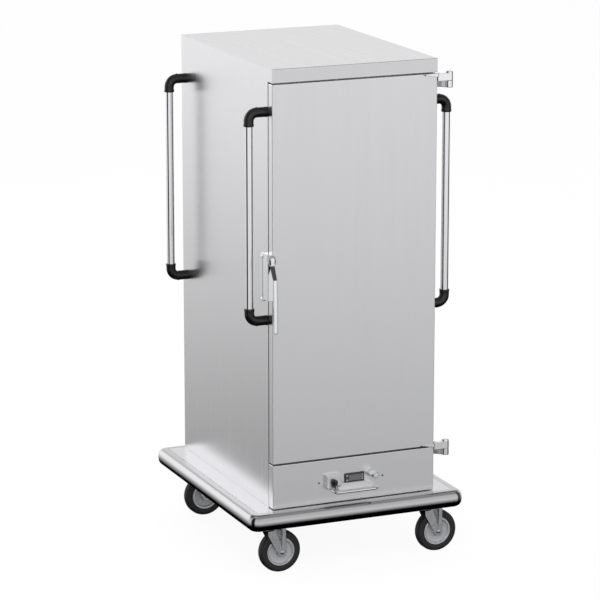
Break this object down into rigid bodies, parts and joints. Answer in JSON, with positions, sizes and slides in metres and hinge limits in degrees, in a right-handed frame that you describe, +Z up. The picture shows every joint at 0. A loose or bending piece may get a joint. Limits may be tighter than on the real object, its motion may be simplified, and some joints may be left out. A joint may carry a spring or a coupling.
{
  "type": "proofing cabinet",
  "caption": "Tall insulated stainless cabinet on a bumper trolley with swivel casters, push handles, a hinged door with lever latch and a control panel below.",
  "frame": {"origin": "on the floor, on the cabinet's middle plane and midway between the foremost and rearmost points", "axes": "+X to the right seen from the front, +Y to the back, +Z up; the door faces -Y"},
  "size_m": [0.877, 1.009, 1.89],
  "materials": {
    "satin_stainless": "satin",
    "polished_stainless": "polished",
    "chrome": "polished",
    "galvanised_steel": "satin",
    "insulation_foam": "matte",
    "black_plastic": "satin",
    "controller_plastic": "gloss",
    "key_plastic": "satin",
    "wheel_centre": "satin",
    "tyre_rubber": "matte",
    "seal": "satin"
  },
  "bodies": {
    "cabinet": {"base_frame": "galvanised_steel", "bumper_rim": "polished_stainless", "deck_plate": "satin_stainless", "outer_casing": "satin_stainless", "top_cover": "satin_stainless", "wall_insulation": "insulation_foam", "inner_liner": "satin_stainless", "rack_left": "satin_stainless", "rack_right": "satin_stainless", "fan_motor": "black_plastic", "heating_element": "chrome", "water_pan": "satin_stainless", "hinge_bracket_top": "polished_stainless", "hinge_bracket_bottom": "polished_stainless", "latch_keeper": "polished_stainless", "control_panel": "satin_stainless", "controller_bezel": "controller_plastic", "switch_housing": "polished_stainless", "control_guard": "polished_stainless", "caster_plate_left_front": "galvanised_steel", "caster_plate_right_front": "galvanised_steel", "caster_plate_left_back": "galvanised_steel", "caster_plate_right_back": "galvanised_steel", "handle_tube_left_front": "polished_stainless", "handle_elbow_upper_left_front": "black_plastic", "handle_elbow_lower_left_front": "black_plastic", "handle_tube_right_front": "polished_stainless", "handle_elbow_upper_right_front": "black_plastic", "handle_elbow_lower_right_front": "black_plastic", "handle_tube_left_back": "polished_stainless", "handle_elbow_upper_left_back": "black_plastic", "handle_elbow_lower_left_back": "black_plastic", "handle_tube_right_back": "polished_stainless", "handle_elbow_upper_right_back": "black_plastic", "handle_elbow_lower_right_back": "black_plastic"},
    "door": {"door_skin": "satin_stainless", "door_insulation": "insulation_foam", "door_liner": "satin_stainless", "door_gasket": "seal", "hinge_leaf_top": "polished_stainless", "hinge_leaf_bottom": "polished_stainless", "latch_body": "chrome"},
    "latch_lever": {"latch_lever": "chrome"},
    "switch_knob": {"switch_knob": "black_plastic"},
    "vent_knob": {"vent_knob": "chrome"},
    "key_up": {"key_up": "key_plastic"},
    "key_set": {"key_set": "key_plastic"},
    "fan_rotor": {"fan_rotor": "galvanised_steel"},
    "caster_swivel_left_front": {"caster_fork_left_front": "galvanised_steel"},
    "caster_spin_left_front": {"caster_wheel_left_front": "wheel_centre", "caster_tyre_left_front": "tyre_rubber"},
    "caster_swivel_right_front": {"caster_fork_right_front": "galvanised_steel"},
    "caster_spin_right_front": {"caster_wheel_right_front": "wheel_centre", "caster_tyre_right_front": "tyre_rubber"},
    "caster_swivel_left_back": {"caster_fork_left_back": "galvanised_steel"},
    "caster_spin_left_back": {"caster_wheel_left_back": "wheel_centre", "caster_tyre_left_back": "tyre_rubber"},
    "caster_swivel_right_back": {"caster_fork_right_back": "galvanised_steel"},
    "caster_spin_right_back": {"caster_wheel_right_back": "wheel_centre", "caster_tyre_right_back": "tyre_rubber"}
  },
  "joints": [
    {"name": "door_hinge", "type": "hinge", "parent": "cabinet", "child": "door", "pos_m": [0.378, -0.4265, 1.1325], "axis": [0, 0, 1], "range_deg": [0, 180]},
    {"name": "latch_lever_pull", "type": "hinge", "parent": "door", "child": "latch_lever", "pos_m": [-0.336, -0.4585, 1.206], "axis": [-1, 0, 0], "range_deg": [0, 70]},
    {"name": "switch_turn", "type": "hinge", "parent": "cabinet", "child": "switch_knob", "pos_m": [-0.0895, -0.4575, 0.3425], "axis": [0, -1, 0], "range_deg": [-60, 60]},
    {"name": "vent_knob_turn", "type": "hinge", "parent": "cabinet", "child": "vent_knob", "pos_m": [0.07, -0.4375, 0.355], "axis": [0, -1, 0], "range_deg": [-135, 135]},
    {"name": "key_up_press", "type": "slide", "parent": "cabinet", "child": "key_up", "axis": [0, 1, 0], "range_m": [0, 0.0008], "stiffness_N_per_m": 400},
    {"name": "key_set_press", "type": "slide", "parent": "cabinet", "child": "key_set", "axis": [0, 1, 0], "range_m": [0, 0.0008], "stiffness_N_per_m": 400},
    {"name": "fan_spin", "type": "hinge", "parent": "cabinet", "child": "fan_rotor", "pos_m": [0, 0.2685, 0.324], "axis": [0, 0, 1], "continuous": true},
    {"name": "swivel_left_front", "type": "hinge", "parent": "cabinet", "child": "caster_swivel_left_front", "pos_m": [-0.32, -0.3755, 0.18], "axis": [0, 0, 1], "continuous": true},
    {"name": "wheel_left_front", "type": "hinge", "parent": "caster_swivel_left_front", "child": "caster_spin_left_front", "pos_m": [-0.275, -0.3755, 0.08], "axis": [0, 1, 0], "continuous": true},
    {"name": "swivel_right_front", "type": "hinge", "parent": "cabinet", "child": "caster_swivel_right_front", "pos_m": [0.32, -0.3755, 0.18], "axis": [0, 0, 1], "continuous": true},
    {"name": "wheel_right_front", "type": "hinge", "parent": "caster_swivel_right_front", "child": "caster_spin_right_front", "pos_m": [0.365, -0.3755, 0.08], "axis": [0, 1, 0], "continuous": true},
    {"name": "swivel_left_back", "type": "hinge", "parent": "cabinet", "child": "caster_swivel_left_back", "pos_m": [-0.32, 0.3845, 0.18], "axis": [0, 0, 1], "continuous": true},
    {"name": "wheel_left_back", "type": "hinge", "parent": "caster_swivel_left_back", "child": "caster_spin_left_back", "pos_m": [-0.275, 0.3845, 0.08], "axis": [0, 1, 0], "continuous": true},
    {"name": "swivel_right_back", "type": "hinge", "parent": "cabinet", "child": "caster_swivel_right_back", "pos_m": [0.32, 0.3845, 0.18], "axis": [0, 0, 1], "continuous": true},
    {"name": "wheel_right_back", "type": "hinge", "parent": "caster_swivel_right_back", "child": "caster_spin_right_back", "pos_m": [0.365, 0.3845, 0.08], "axis": [0, 1, 0], "continuous": true}
  ]
}
